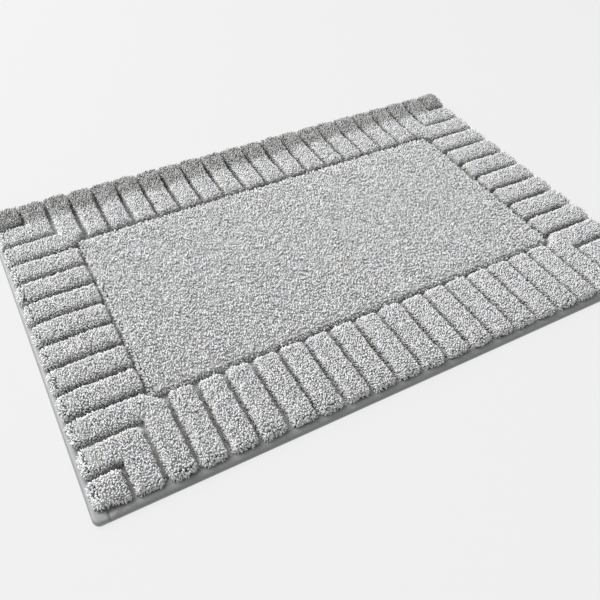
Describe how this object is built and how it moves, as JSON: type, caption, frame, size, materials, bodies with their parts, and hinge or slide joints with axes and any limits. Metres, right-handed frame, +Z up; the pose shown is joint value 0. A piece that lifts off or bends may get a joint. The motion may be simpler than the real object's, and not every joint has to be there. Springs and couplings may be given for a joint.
{
  "type": "bath mat",
  "caption": "Rectangular tufted bath mat: a flat pile field inside a border of carved pile ribs with nested angle ribs in the corners, on an anti-slip base with a taped edge.",
  "frame": {"origin": "middle of the underside, on the floor", "axes": "+X along the mat's length, +Y along its width from the front edge to the back edge, +Z up out of the pile"},
  "size_m": [0.8, 0.5, 0.02],
  "materials": {
    "pile": "deep tufted yarn pile, light cool grey, matt with a soft sheen",
    "binding_tape": "smooth woven tape, mid grey, slightly satin",
    "base_cloth": "plain woven tufting cloth, mid grey, matt",
    "anti_slip_coat": "thin dotted latex coat, pale grey, matt"
  },
  "bodies": {
    "root": {"base_cloth": "base_cloth", "anti_slip_coat": "anti_slip_coat", "edge_binding": "binding_tape", "centre_field": "pile", "front_rib_01": "pile", "back_rib_01": "pile", "front_rib_02": "pile", "back_rib_02": "pile", "front_rib_03": "pile", "back_rib_03": "pile", "front_rib_04": "pile", "back_rib_04": "pile", "front_rib_05": "pile", "back_rib_05": "pile", "front_rib_06": "pile", "back_rib_06": "pile", "front_rib_07": "pile", "back_rib_07": "pile", "front_rib_08": "pile", "back_rib_08": "pile", "front_rib_09": "pile", "back_rib_09": "pile", "front_rib_10": "pile", "back_rib_10": "pile", "front_rib_11": "pile", "back_rib_11": "pile", "front_rib_12": "pile", "back_rib_12": "pile", "front_rib_13": "pile", "back_rib_13": "pile", "front_rib_14": "pile", "back_rib_14": "pile", "front_rib_15": "pile", "back_rib_15": "pile", "front_rib_16": "pile", "back_rib_16": "pile", "left_rib_1": "pile", "right_rib_1": "pile", "left_rib_2": "pile", "right_rib_2": "pile", "left_rib_3": "pile", "right_rib_3": "pile", "left_rib_4": "pile", "right_rib_4": "pile", "left_rib_5": "pile", "right_rib_5": "pile", "left_rib_6": "pile", "right_rib_6": "pile", "left_rib_7": "pile", "right_rib_7": "pile", "corner_block_front_left": "pile", "angle_ribs_front_left": "pile", "corner_block_front_right": "pile", "angle_ribs_front_right": "pile", "corner_block_back_left": "pile", "angle_ribs_back_left": "pile", "corner_block_back_right": "pile", "angle_ribs_back_right": "pile"}
  },
  "joints": []
}
